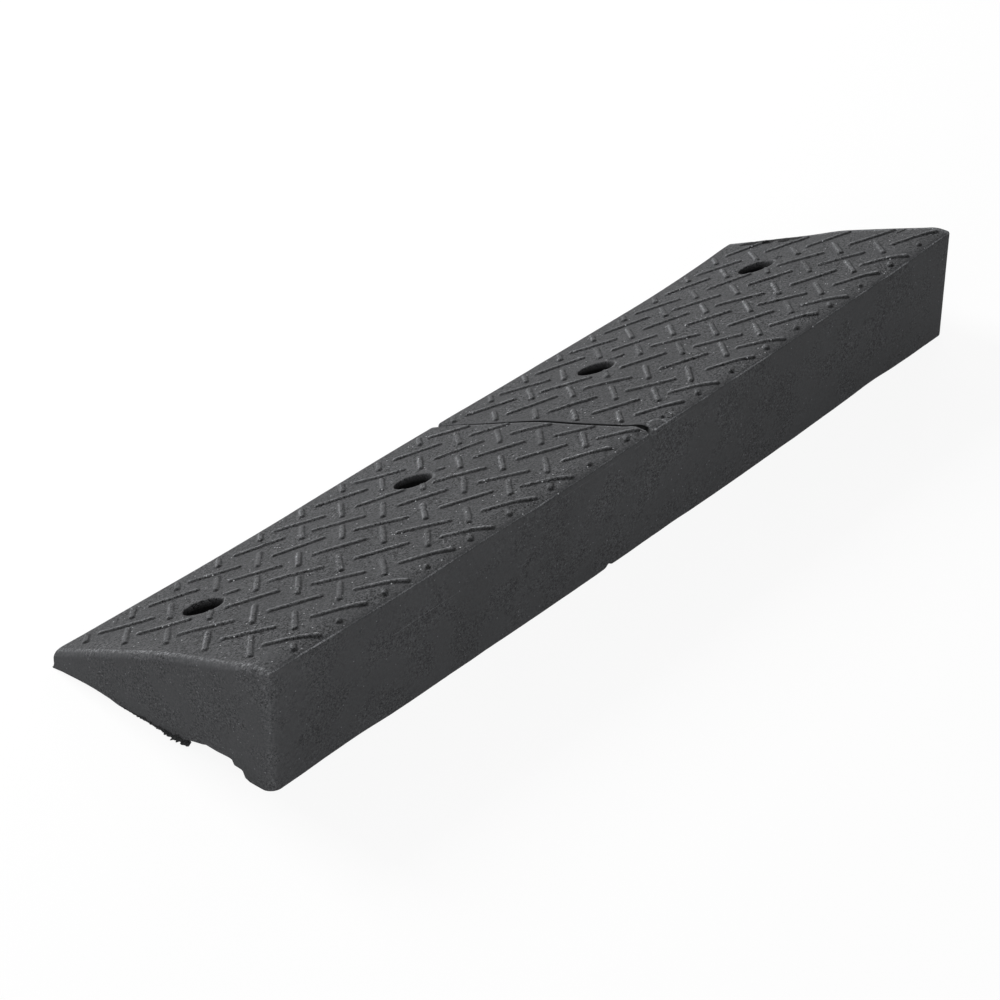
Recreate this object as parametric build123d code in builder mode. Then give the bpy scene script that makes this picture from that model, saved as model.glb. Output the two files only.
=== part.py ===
"""Rubber kerb ramp: two solid moulded sections that stand butted end to end along a kerb.

Each section has a low toe, a slightly convex slope, a flat band along the kerb side and an upright
back face. Raised bars lean both ways across the slope as a tread, two counterbored holes take the
fixing bolts, and a low channel under the back half lets rain water run along the gutter.
The origin is on the road at the middle of the ramp, +X along its length, +Y towards the kerb.
"""

import os
from math import ceil, floor

from build123d import *

# Section body, in millimetres
section_length = 500.0
ramp_width = 270.0
ramp_height = 120.0
toe_height = 14.5
flat_band = 17.0
seam_gap = 0.6
toe_corner_radius = 4.0
back_corner_radius = 12.0
edge_radius = 4.0
seam_edge_radius = 1.5

# Convex slope: a wide bend stands above the straight line from the toe to the crest
bend_setback = 118.0
bend_rise = 6.0
bend_radius = 450.0
crest_radius = 40.0

# Tread bars: a tile of four bars that repeats along the ramp and across it
bar_width = 6.5
bar_height = 2.0
tile_pitch = 107.6
row_pitch = 51.8
tile_start = (36.7, 30.2)
tile_bars = {
    "rising_first": {"place": (0.0, 0.0), "lean": 44.5, "length": 43.0},
    "falling_first": {"place": (30.0, -24.7), "lean": -37.5, "length": 51.0},
    "rising_second": {"place": (57.8, 2.6), "lean": 44.5, "length": 43.0},
    "falling_second": {"place": (87.2, -23.0), "lean": -47.5, "length": 51.0},
}
tread_end_margin = 6.0
tread_seam_margin = 4.0
tread_toe_margin = 7.0
tread_back_margin = 9.5
centre_end_margin = 8.0
rim_margin = 3.0

# Fixing holes: a wide recess for the bolt head and washer over a narrow shank hole
inner_hole_offset = 135.0
outer_hole_offset = 95.0
hole_setback = 94.0
recess_diameter = 36.0
shank_diameter = 14.0
seat_thickness = 25.0

# Drain channel under the back half, open at both ends
drain_width = 66.0
drain_height = 12.0
drain_setback = 31.0
drain_corner_radius = 6.0

half_width = ramp_width / 2
toe_top = (-half_width, toe_height)
crest = (half_width - flat_band, ramp_height)
chord_slope = (crest[1] - toe_top[1]) / (crest[0] - toe_top[0])
bend = (crest[0] - bend_setback, crest[1] - chord_slope * bend_setback + bend_rise)
hole_y = hole_setback - half_width
drain_y = half_width - drain_setback - drain_width / 2

# A face counts as part of the top where the upright part of its normal is over this share
upward_share = 0.2


def ramp_profile(x, rise):
    """Return the section's profile at x, toe on the left, with its top raised by the given height."""
    with BuildSketch(Plane.YZ.offset(x)) as profile:
        with BuildLine():
            Polyline(
                (-half_width, 0),
                (toe_top[0], toe_top[1] + rise),
                (bend[0], bend[1] + rise),
                (crest[0], crest[1] + rise),
                (half_width, ramp_height + rise),
                (half_width, 0),
                close=True,
            )
        make_face()
        fillet(profile.vertices().sort_by_distance((bend[0], bend[1] + rise))[0], bend_radius)
        fillet(profile.vertices().sort_by_distance((crest[0], crest[1] + rise))[0], crest_radius)
    return profile.sketch


def bar_centres(bar, low_x, high_x):
    """List the middles of one kind of tread bar that lie well inside a section's ends."""
    first_x = tile_start[0] + bar["place"][0]
    first_y = tile_start[1] + bar["place"][1]
    inner_low = low_x + centre_end_margin
    inner_high = high_x - centre_end_margin
    columns = range(ceil((inner_low - first_x) / tile_pitch), floor((inner_high - first_x) / tile_pitch) + 1)
    reach = half_width + bar["length"] / 2
    rows = range(ceil((-reach - first_y) / row_pitch), floor((reach - first_y) / row_pitch) + 1)
    return [(first_x + i * tile_pitch, first_y + j * row_pitch) for i in columns for j in rows]


os.makedirs("parts", exist_ok=True)

# Each section runs away from the seam: the near one along +X, the far one along -X
for section_name, side in (("near_ramp_section", 1), ("far_ramp_section", -1)):
    seam_x = side * seam_gap / 2
    outer_x = seam_x + side * section_length
    low_x = min(seam_x, outer_x)
    high_x = max(seam_x, outer_x)

    # Where the seam end and the outer end come in a list sorted along X
    seam_place, outer_place = (0, -1) if side > 0 else (-1, 0)

    tread_x = (seam_x + outer_x + side * (tread_seam_margin - tread_end_margin)) / 2
    hole_places = [
        (seam_x + side * inner_hole_offset, hole_y),
        (outer_x - side * outer_hole_offset, hole_y),
    ]

    # Plan of the tread: whole bars, cut short at the edges of the slope and round the holes
    with BuildSketch() as bar_plan:
        for bar in tile_bars.values():
            with Locations(bar_centres(bar, low_x, high_x)):
                SlotOverall(bar["length"], bar_width, rotation=bar["lean"])
        with Locations((tread_x, (tread_toe_margin - tread_back_margin) / 2)):
            Rectangle(
                section_length - tread_end_margin - tread_seam_margin,
                ramp_width - tread_toe_margin - tread_back_margin,
                mode=Mode.INTERSECT,
            )
        with Locations(hole_places):
            Circle(recess_diameter / 2 + rim_margin, mode=Mode.SUBTRACT)

    # Bars: upright columns that reach as high as the raised profile
    with BuildPart() as bar_columns:
        extrude(bar_plan.sketch, amount=ramp_height + 2 * bar_height)
    with BuildPart() as tread:
        extrude(ramp_profile(low_x, bar_height), amount=section_length)
        add(bar_columns.part, mode=Mode.INTERSECT)

    with BuildPart() as section:
        # Body: the profile run along the section, with round upright corners at its outer end
        extrude(ramp_profile(low_x, 0), amount=section_length)
        for corner_place, corner_radius in ((0, toe_corner_radius), (-1, back_corner_radius)):
            outer_uprights = section.edges().filter_by(Axis.Z).group_by(Axis.X)[outer_place]
            fillet(outer_uprights.sort_by(Axis.Y)[corner_place], corner_radius)

        # Top edges: round along the toe, the outer end and the back, nearly sharp at the seam
        top_faces = section.faces().filter_by(lambda face: face.normal_at().Z > upward_share)
        side_faces = section.faces().filter_by(lambda face: abs(face.normal_at().Z) < upward_share)
        seam_face = section.faces().sort_by(Axis.X)[seam_place]
        fillet((top_faces.edges() & side_faces.edges()) - seam_face.edges(), edge_radius)
        seam_face = section.faces().sort_by(Axis.X)[seam_place]
        underside = section.faces().sort_by(Axis.Z)[0]
        fillet(seam_face.edges() - underside.edges(), seam_edge_radius)
        add(tread.part)

        # Drain channel
        with BuildSketch(Plane.YZ.offset(low_x)) as drain:
            with Locations((drain_y, 0)):
                Rectangle(drain_width, 2 * drain_height)
            fillet(drain.vertices(), drain_corner_radius)
        extrude(amount=section_length, mode=Mode.SUBTRACT)

        # Fixing holes
        with Locations([(x, y, ramp_height) for x, y in hole_places]):
            CounterBoreHole(
                radius=shank_diameter / 2,
                counter_bore_radius=recess_diameter / 2,
                counter_bore_depth=ramp_height - seat_thickness,
                depth=ramp_height,
            )

    section.part.label = section_name
    export_step(section.part, f"parts/{section_name}.step")
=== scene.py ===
"""Looks of a rubber kerb ramp: two moulded sections with a raised tread, butted end to end.

Each section is one closed surface: its profile is carried along the ramp from end to end, the tread
bars rise from the slope as a height field, and rings of points lead down into the fixing holes.
Shapes are worked out in millimetres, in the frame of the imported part, and stored in metres.
"""

import math
from functools import partial
from types import SimpleNamespace

import bpy
import numpy as np
from mathutils import Matrix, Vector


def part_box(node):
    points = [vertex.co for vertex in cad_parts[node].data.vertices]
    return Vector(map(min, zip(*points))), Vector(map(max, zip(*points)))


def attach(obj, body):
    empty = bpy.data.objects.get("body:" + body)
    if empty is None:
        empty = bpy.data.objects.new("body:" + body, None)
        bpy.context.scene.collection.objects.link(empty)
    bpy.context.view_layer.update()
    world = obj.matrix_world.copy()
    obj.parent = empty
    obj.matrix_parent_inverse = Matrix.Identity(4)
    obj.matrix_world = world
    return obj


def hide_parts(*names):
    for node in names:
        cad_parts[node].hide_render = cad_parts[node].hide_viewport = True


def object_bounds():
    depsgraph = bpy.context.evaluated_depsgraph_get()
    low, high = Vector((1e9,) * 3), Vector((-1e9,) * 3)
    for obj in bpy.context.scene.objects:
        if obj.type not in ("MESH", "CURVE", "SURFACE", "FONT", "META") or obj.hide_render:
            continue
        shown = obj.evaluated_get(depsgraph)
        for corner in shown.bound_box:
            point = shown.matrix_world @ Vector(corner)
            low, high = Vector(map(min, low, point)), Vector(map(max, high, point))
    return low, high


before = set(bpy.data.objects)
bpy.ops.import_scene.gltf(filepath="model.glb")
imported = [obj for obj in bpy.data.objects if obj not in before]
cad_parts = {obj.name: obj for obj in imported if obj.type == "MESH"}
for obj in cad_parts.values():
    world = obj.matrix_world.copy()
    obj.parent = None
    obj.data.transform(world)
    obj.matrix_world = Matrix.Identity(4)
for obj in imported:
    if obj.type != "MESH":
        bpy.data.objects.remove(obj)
cad_low, cad_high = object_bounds()

# Millimetre in metres. Below, a run is a start and a reach, and a negative reach runs backwards
MM = 0.001

# Section profile
TREAD_TOP = 2.0
TOE_HEIGHT = 14.5
FLAT_BAND = 17.0
BEND_SETBACK = 118.0
BEND_RISE = 6.0
BEND_BLEND = 14.0
CREST_BLEND = 9.0
TOE_ROUND = 3.6
BACK_ROUND = 2.2
FOOT_ROUND = 1.5
BACK_DEPTHS = (4.0, 7.0, 11.0, 18.0, 30.0, 44.0, 58.0, 72.0, 86.0, 100.0, 112.0)

# Underside: the drain channel's outline in (y, z), from the back on, and plain places after it
DRAIN_OUTLINE = (
    (122.0, 0.0), (112.0, 0.0), (105.0, 1.6), (101.5, 7.0), (99.0, 8.2), (90.5, 8.6), (88.0, 13.0),
    (84.0, 13.4), (70.0, 12.4), (57.0, 12.6), (53.0, 11.0), (43.0, 8.6), (36.5, 6.8), (31.0, 4.8),
    (30.4, 0.0),
)
PLAIN_UNDER_Y = (22.0, 8.0, -8.0)

# Rounding of the faces where the profile runs out at an end
NEAR_OUTER_END = {"top": 7.0, "back": 12.0, "toe": 1.5, "foot": 0.8, "lower_back": 12.0}
FAR_OUTER_END = {"top": 4.0, "back": 6.0, "toe": 1.5, "foot": 1.0, "lower_back": 6.0}
SEAM_END = {"top": 1.4, "back": 9.0, "toe": 7.5, "foot": 0.4, "lower_back": 0.12}
END_REACH = 13.0
BACK_CORNER_DEPTH = 10.0
CAP_INSET = 1.0
FACE_FADE = 40.0
FOOT_FADE = 8.0

# Seam: the faces meet below and gape at the top, wider up the slope and wider again at the kerb
SEAM_CLOSING = 0.297
NEAR_GAPE = 0.75
FAR_GAPE = 1.5
GAPE_DEPTH = 7.0
GAPE_REACH = 6.0
GAPE_SLOPE_REACH = 130.0
GAPE_KERB_RUN = (118.0, 12.0)
GAPE_EASE = {"toe": 30.0, "back": 10.0}

# Tread: a tile of four bars, each given by its middle in the tile, its lean in degrees and its length
BAR_WIDTH = 6.5
BAR_HEIGHT = 2.2
BAR_FOOT = 3.0
BAR_FULLNESS = 2.4
BAR_RIPPLE = 0.16
RIPPLE_LENGTHS = (2.3, 5.1)
BAR_WANDER = 0.6
TILE_PITCH = 107.6
ROW_PITCH = 51.8
TREAD_ROWS = (-4, 4)
TILE_START = (36.7, 30.2)
TILE_BARS = (
    ((0.0, 0.0), 44.5, 43.0),
    ((30.0, -24.7), -37.5, 51.0),
    ((57.8, 2.6), 44.5, 43.0),
    ((87.2, -23.0), -47.5, 51.0),
)
TREAD_END_MARGIN = 6.0
TREAD_SEAM_MARGIN = 4.0
TREAD_TOE_MARGIN = 7.0
RISING_BACK_MARGIN = 7.5
FALLING_BACK_MARGIN = 5.0
CENTRE_END_MARGIN = 8.0

# Painted light on the bars: a painted highlight along the crown and painted shade on the flank turned to
# the kerb, away from the light, from the faintest to the strongest bar
LIT_SIDE = (0.1, -0.995)
RISING_PAINTED_LIGHT = {"offset": 1.3, "width": 0.8, "line": (0.3, 1.0), "kerb_shade": (0.4, 0.85)}
FALLING_PAINTED_LIGHT = {"offset": 0.8, "width": 1.1, "line": (0.8, 1.2), "kerb_shade": (0.9, 1.0)}
LEE_START = 1.9
LEE_FULL = 2.6
CROWN_SHARE = 0.1
TIP_SHADE = 0.8
FOOT_SHADE = 1.4

# Fixing holes
INNER_HOLE_OFFSET = 135.0
OUTER_HOLE_OFFSET = 95.0
HOLE_SETBACK = 94.0
RECESS_RADIUS = 18.0
SHANK_RADIUS = 7.0
SEAT_HEIGHT = 25.0
RIM_ROUND = 1.6
RIM_MARGIN = 3.0
# Painted highlight on the kerb side of the rim
RIM_HIGHLIGHT = 0.5
RIM_FADE = 2.0
# Painted shade down the hole walls, eased off towards the seat
HOLE_DARK_REACH = 6.0
HOLE_SHADE = 0.95
HOLE_EASE = 0.35
HOLE_EASE_RUN = (15.0, 25.0)

# Lie of the rubber: a bow in plan over the whole ramp, and a far end that is short at the toe
BOW_RISE = 3.6
BOW_TURN = 1.0
TOE_SHORTFALL = 7.0
KERB_OVERRUN = 1.8
SKEW_TOE_RUN = (-40.0, -95.0)
SKEW_KERB_RUN = (20.0, 80.0)
SKEW_END_RUN = (-440.0, -60.0)

# Settling of the top: heights, each with its runs or bells (middle and reach) along x or y
SETTLING = (
    (3.0, ("x", "run", 220.0, 290.0)),
    (2.4, ("x", "run", -330.0, -180.0)),
    (0.5, ("x", "run", -420.0, -80.0), ("y", "run", 100.0, 30.0)),
    (-2.0, ("x", "bell", -50.0, 170.0), ("y", "run", -40.0, 100.0)),
    (1.2, ("x", "bell", -50.0, 170.0), ("y", "run", 100.0, 35.0)),
    (1.3, ("x", "bell", 20.0, 150.0), ("y", "run", -60.0, -70.0)),
    (-2.2, ("y", "bell", -40.0, 42.0), ("x", "run", -400.0, -90.0)),
)

# Uneven edges, as bells along the ramp: middle, reach and height
TOE_WANDER = ((100.0, 140.0, -1.6), (-330.0, 90.0, 1.4), (-492.0, 45.0, -2.0))
FOOT_ARCHES = ((405.0, 60.0, 2.6), (60.0, 3.0, 3.0), (-366.0, 46.0, 3.2))
FOOT_DEPTH = 6.0

# Arch under the near end, as a bell across the ramp, and the tip of flash at its toe corner
SOLE_ARCH = ((-86.0, 34.0, 2.8),)
SOLE_RUN = (400.0, 90.0)
TIP_SHIFT = (2.2, -2.8)
TIP_REACH = 3.0

# Unevenness of the moulding: waves that are calm at the ends, and a hollow back
SWELL_HEIGHT = 0.3
SWELL_LENGTHS = np.geomspace(9.0, 260.0, 16)
END_CALM = 12.0
BACK_HOLLOW = 0.4
BACK_HANG = 14.0
NEAR_SEED = 11
FAR_SEED = 12
BACK_SEED = 52

# Wear: a torn strip along the far end, broken up by waves (height, seed, lengths), and a pit beside it
TORN_RUNS = ((-119.0, 8.0), (-38.0, -8.0))
TORN_END_GAP = 9.0
TORN_REACH = 8.0
TORN_RIM_RUN = (1.2, 1.2)
TORN_LEVEL_RUN = (0.13, 0.3)
TORN_DRAWN_OUT = 0.45
TORN_WAVES = (0.4, 21, np.geomspace(4.5, 14.0, 12))
TORN_DEPTH = 0.4
TORN_FLOOR = (0.3, 1.0)
PIT_ENDS = ((-484.0, 80.5), (-494.0, 83.5))
PIT_RADIUS = 2.0

# Torn flash along the foot of the near end: sizes at its start, their gain, and the depth and reach of rags
FLASH_LOW_Y = -46.0
FLASH_HIGH_Y = 35.0
FLASH_HEIGHT = (1.2, 3.4, (0.2, 3), (0.25, 12))
FLASH_HALF_DEPTH = (1.0, 1.6, (0.25, 4), (0.3, 14))
FLASH_LIFT = {"middle": 0.5, "spread": 0.35, "reach": 8, "least": 0.05}
FLASH_LUMPS = ((0.16, 3.0, 1.4), (0.1, 2.0, -0.8))
FLASH_CLOSING = 60.0
FLASH_TIP = 0.02
FLASH_SETBACK = 0.5
# Painted shade on the flash, which hangs in shadow under the end face
FLASH_SHADE = 0.6
FLASH_STATIONS = 160
FLASH_RING = 14
FLASH_SEED = 5

# Smooth round pad at the back corner of each section's +X end
NEAR_PAD = {"setback": (22.0, 17.0), "radius": 9.0, "rim": 0.1}
FAR_PAD = {"setback": (13.0, 5.5), "radius": 9.0, "rim": 1.5}
PAD_EDGE = 2.0

# Rubbed back edge, and dust as bells: distance from an end, reach and strength
RUBBED_REACH = 2.5
RUBBED_INSET = 0.6
RUBBED_END = 4.0
END_DUST = (5.5, 2.0, 1.0)
END_HAZE = (0.0, 24.0, 0.15)
SEAM_DUST = (1.7, 0.9, 1.2)
CORNER_DUST = (3.5, 3.0, 0.12)

# Upright faces at an end, and the joint faces that are painted in shade near the top, as runs from the end
END_FACE_RUN = (1.0, 5.0)
JOINT_FACE_RUN = (0.05, 0.12)

# Finish: marks on the points, noises by scale and detail, dots by scale, size and share, and tones
MARKS = (
    "edge_dust", "upright_face", "lee_side", "worn_crown",
    "rubbed_edge", "smooth_pad", "torn_strip", "deep_face",
)
NOISES = {"clouds": (11.0, 4.0), "patches": (24.0, 3.0), "grain": (400.0, 2.0), "fine": (900.0, 1.0)}
NOISE_SPAN = (0.3, 0.7)
PIT_DOTS = (520.0, 0.42, 0.35)
SPECK_DOTS = (280.0, 0.23, 0.9)
GRAIN_DEPTH = 0.0008
TOP_TONE = 0.051
SIDE_TONE = 0.065
# Painted shade on the kerb side of the bars, and a painted highlight on their crowns
KERB_SHADE_TONE = 0.2
HIGHLIGHT_TONE = 3.0
# Painted shade in deep places, also used for the dark of the torn strip
DEEP_SHADE_TONE = 0.08
DUST_TONE = 0.24
RUBBED_TONE = 0.22
SCRATCH_TONE = 0.035
TINT = (0.978, 0.995, 1.035, 1.0)
BLACK = (0.0, 0.0, 0.0, 1.0)
WHITE = (1.0, 1.0, 1.0, 1.0)

# Scratches along the back: height and span in x, in metres, and the length over which they fade
SCRATCHES = ((0.1125, 0.045, 0.14), (0.1135, -0.07, 0.035), (0.0835, 0.26, 0.36))
SCRATCH_FADE = 0.012

# Mesh density
TREAD_PITCH = 1.33
END_STEPS = 9
TOE_STEPS = 5
TOE_RISE_STEPS = 3
BACK_STEPS = 6
FOOT_STEPS = 2
UNDER_STEPS = 8
HOLE_HALF = 18
FOOT_HALF = 8
FOOT_REACH = 11.0
RING_SHARE = 4
SLOPE_SHARES = (0.3, 0.6, 0.85)
WALL_SHARES = (0.08, 0.25, 0.6, 1.0)
RIM_RINGS = 6
SHANK_RINGS = 6

# Camera at the photograph's viewing angle, in degrees and metres
CAMERA_AZIMUTH = 130.772
CAMERA_ELEVATION = 33.457
CAMERA_DISTANCE = 2.7147
CAMERA_ASIDE = -0.03705
CAMERA_ABOVE = -0.01232
CAMERA_LENS = 101.20

# Lamps: power, size, azimuth, elevation and distance
LAMPS = {
    "key_lamp": (64.0, 0.9, 4.0, 36.0, 2.4),
    "rim_lamp": (16.0, 1.2, -58.0, 30.0, 2.6),
    "fill_lamp": (42.0, 2.0, 128.0, 32.0, 3.0),
}

# Floor and surround
FLOOR_REACH = 12.0
FLOOR_GREY = (0.85, 0.85, 0.85, 1.0)
FLOOR_WHITENESS = 0.9
SURROUND_STRENGTH = 0.2

# Ramp box from the frame, without the tread bars
toe_y = cad_low.y / MM
back_y = cad_high.y / MM
outer_x = cad_high.x / MM
ramp_height = cad_high.z / MM - TREAD_TOP
hole_y = toe_y + HOLE_SETBACK
crest_y = back_y - FLAT_BAND
bend_y = crest_y - BEND_SETBACK
chord_slope = (ramp_height - TOE_HEIGHT) / (crest_y - toe_y)
bend_z = ramp_height - chord_slope * BEND_SETBACK + BEND_RISE
lower_slope = (bend_z - TOE_HEIGHT) / (bend_y - toe_y)
upper_slope = (ramp_height - bend_z) / BEND_SETBACK


def smooth_step(share):
    """Rise from 0 to 1 over a share of 0 to 1, level at both ends."""
    share = np.clip(share, 0.0, 1.0)
    return share * share * (3.0 - 2.0 * share)


def grown(place, start, reach):
    """A run: the smooth step from a start over a reach along a line."""
    return smooth_step((place - start) / reach)


def bell(place, middle, reach, height=1.0):
    """A bell round a middle, which falls to the e-th part of its height at its reach."""
    return height * np.exp(-(((place - middle) / reach) ** 2))


def bells(place, shapes):
    """Sum of bells along a line, each given by its middle, its reach and its height."""
    return sum(bell(place, *shape) for shape in shapes)


def rounded_ramp(distance, blend):
    """Nothing before a bend and the distance itself after it, joined by a parabola over the blend."""
    inside = np.clip(distance + blend, 0.0, 2.0 * blend)
    return inside**2 / (4.0 * blend) + np.maximum(distance - blend, 0.0)


def slope_height(y):
    """Height of the bare slope: a straight rise that eases at the bend and levels off at the crest."""
    rise = TOE_HEIGHT + lower_slope * (y - toe_y)
    rise = rise - (lower_slope - upper_slope) * rounded_ramp(y - bend_y, BEND_BLEND)
    return rise - upper_slope * rounded_ramp(y - crest_y, CREST_BLEND)


def settling(x, y):
    """How far the top stands off the plain profile: a sum of heights times their runs and bells."""
    places = {"x": x, "y": y}
    forms = {"run": grown, "bell": bell}
    total = 0.0
    for height, *curves in SETTLING:
        for axis, form, start, reach in curves:
            height = height * forms[form](places[axis], start, reach)
        total = total + height
    return total


def plan_bow(x):
    """How far the ramp bows towards the kerb along its length: a flat parabola with a slight turn."""
    share = x / outer_x
    return BOW_RISE * (0.5 - share**2) + BOW_TURN * share


def far_end_skew(x, y):
    """How far the far end is drawn in at the toe and runs over at the kerb, over its last centimetres."""
    drawn_in = TOE_SHORTFALL * grown(y, *SKEW_TOE_RUN)
    overrun = KERB_OVERRUN * grown(y, *SKEW_KERB_RUN)
    return (drawn_in - overrun) * grown(x, *SKEW_END_RUN)


def swell(along, across, height, seed, lengths=SWELL_LENGTHS):
    """Unevenness of a moulded face: sine waves with drawn turns and phases, as high as they are long."""
    draw = np.random.default_rng(seed)
    total = np.zeros_like(along)
    for length in lengths:
        turn, phase = draw.uniform(0.0, 2.0 * np.pi, 2)
        run = along * np.cos(turn) + across * np.sin(turn)
        total += length * np.sin(2.0 * np.pi * run / length + phase)
    return height * total / np.sqrt((lengths**2).sum() / 2.0)


def tread_bars(low_x, high_x, seam_high, seed):
    """Middles, directions, reach and drawn strength of the painted highlight and shade of a section's bars,
    cut short at the edges of the slope.

    A bar is a line from its middle along its lean, which runs each way up to the tread's limits.
    """
    draw = np.random.default_rng(seed)
    bars = []
    for place, lean, length in TILE_BARS:
        first = np.array(TILE_START) + place
        low_tile = math.ceil((low_x + CENTRE_END_MARGIN - first[0]) / TILE_PITCH)
        high_tile = math.floor((high_x - CENTRE_END_MARGIN - first[0]) / TILE_PITCH)
        columns = np.arange(low_tile, high_tile + 1)
        rows = np.arange(*TREAD_ROWS)
        grid = np.stack(np.meshgrid(columns * TILE_PITCH, rows * ROW_PITCH), -1).reshape(-1, 2)
        bars += [(*(first + step), lean, (length - BAR_WIDTH) / 2.0) for step in grid]
    middles, leans, reaches = np.split(np.array(bars), (2, 3), axis=1)
    leans = np.radians(leans[:, 0] + draw.normal(0.0, 2.0 * BAR_WANDER, len(bars)))
    middles = middles + draw.normal(0.0, BAR_WANDER, middles.shape)
    reaches = reaches[:, 0] + draw.normal(0.0, BAR_WANDER, len(bars))
    contrasts = draw.uniform(0.0, 1.0, len(bars))
    directions = np.column_stack((np.cos(leans), np.sin(leans)))
    half = BAR_WIDTH / 2.0
    margins = (TREAD_END_MARGIN, TREAD_SEAM_MARGIN)
    low_margin, high_margin = margins if seam_high else margins[::-1]
    back_margins = np.where(leans > 0.0, RISING_BACK_MARGIN, FALLING_BACK_MARGIN)
    lows = np.array((low_x + low_margin + half, toe_y + TREAD_TOE_MARGIN + half))
    highs = np.column_stack(np.broadcast_arrays(high_x - high_margin - half, back_y - back_margins - half))
    limits = np.sort(np.stack(((lows - middles) / directions, (highs - middles) / directions)), axis=0)
    starts = np.maximum(-reaches, limits[0].max(axis=1))
    ends = np.minimum(reaches, limits[1].min(axis=1))
    kept = ends > starts - half
    ends = np.maximum(ends, starts)
    return middles[kept], directions[kept], starts[kept], ends[kept], contrasts[kept]


def tread_relief(x, y, bars, holes):
    """Height of the bars over the slope at points (x, y), and the shares of painted shade and painted
    highlight there.

    A bar is a bead round its line, with a slight ripple along it. Painted shade lies on the flank and foot
    turned to the kerb, away from the light, wider at the tip of a rising bar. A painted highlight lies
    faintly over the whole crown, and most along a line on the toe side, towards the light. All of these
    fade out at the holes.
    """
    fields = np.zeros((3,) + x.shape)
    for (middle_x, middle_y), (lean_x, lean_y), start, end, contrast in zip(*bars):
        along = (x - middle_x) * lean_x + (y - middle_y) * lean_y
        nearest = np.clip(along, start, end)
        away_x = x - middle_x - nearest * lean_x
        away_y = y - middle_y - nearest * lean_y
        ripple = np.sin(along / RIPPLE_LENGTHS[0] + middle_x) + np.sin(along / RIPPLE_LENGTHS[1] + middle_y)
        distance = np.hypot(away_x, away_y) + BAR_RIPPLE * ripple
        share = np.clip(distance / BAR_FOOT, 0.0, 1.0)
        ridge = np.sqrt(1.0 - share**BAR_FULLNESS)
        rising = lean_y > 0.0
        look = RISING_PAINTED_LIGHT if rising else FALLING_PAINTED_LIGHT
        at_tip = grown(along, end, BAR_FOOT) * rising
        tip = TIP_SHADE * at_tip
        # Painted shade on the flank and foot turned to the kerb, away from the light, and over a rising
        # bar's tip
        flank = smooth_step((distance - LEE_START + tip) / (LEE_FULL - LEE_START))
        flank = flank * (1.0 - smooth_step((distance - BAR_FOOT - tip) / FOOT_SHADE))
        kerbward = np.clip(away_y / np.maximum(distance, 1.0), 0.0, 1.0)
        shade = np.maximum(np.interp(contrast, (0.0, 1.0), look["kerb_shade"]), at_tip)
        kerb_shade = shade * flank * np.sqrt(kerbward)
        # Painted highlight along a line on the crown's toe side, towards the light, and faintly over the
        # whole crown
        offset = away_x * LIT_SIDE[0] + away_y * LIT_SIDE[1]
        lit_line = bell(offset, look["offset"], look["width"]) * np.interp(contrast, (0.0, 1.0), look["line"])
        lit_line = lit_line * (1.0 - grown(distance, LEE_START, BAR_FOOT - LEE_START))
        crown = CROWN_SHARE * (1.0 - share**2)
        fields = np.maximum(fields, (BAR_HEIGHT * ridge, kerb_shade, np.maximum(lit_line, crown)))
    for hole_x in holes:
        clear = np.hypot(x - hole_x, y - hole_y) - RECESS_RADIUS - RIM_MARGIN
        fields = fields * smooth_step(clear / RIM_FADE)
    return fields


def torn_share(x, y, low_x):
    """How deep a point lies in the torn strip or the pit at the far end, from 0 to 1.

    The strip falls off evenly from its middle line, and short waves drawn out along it are added, so that
    what stands over a level breaks up into ragged patches. The pit is a round-ended dash.
    """
    within = grown(y, *TORN_RUNS[0]) * grown(y, *TORN_RUNS[1])
    away = np.abs(x - low_x - TORN_END_GAP) / TORN_REACH
    broken = swell(x, TORN_DRAWN_OUT * y, *TORN_WAVES)
    strip = within * grown(1.0 - away + broken, *TORN_LEVEL_RUN)
    strip = strip * (away < 1.0) * grown(x - low_x, *TORN_RIM_RUN)
    start, end = np.array(PIT_ENDS)
    run = end - start
    share = np.clip(((x - start[0]) * run[0] + (y - start[1]) * run[1]) / (run @ run), 0.0, 1.0)
    distance = np.hypot(x - start[0] - share * run[0], y - start[1] - share * run[1])
    pit = 1.0 - grown(distance, 0.5 * PIT_RADIUS, 0.5 * PIT_RADIUS)
    return np.maximum(strip, pit)


def arc(centre_y, centre_z, radius, start, end, steps):
    """Points along a round corner, between two angles in degrees from +Y towards +Z."""
    angle = np.radians(np.linspace(start, end, steps + 1))
    return np.column_stack((centre_y + radius * np.cos(angle), centre_z + radius * np.sin(angle)))


def upright(y, heights):
    """Points one above another at one y."""
    return np.column_stack((np.full(len(heights), y), heights))


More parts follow.
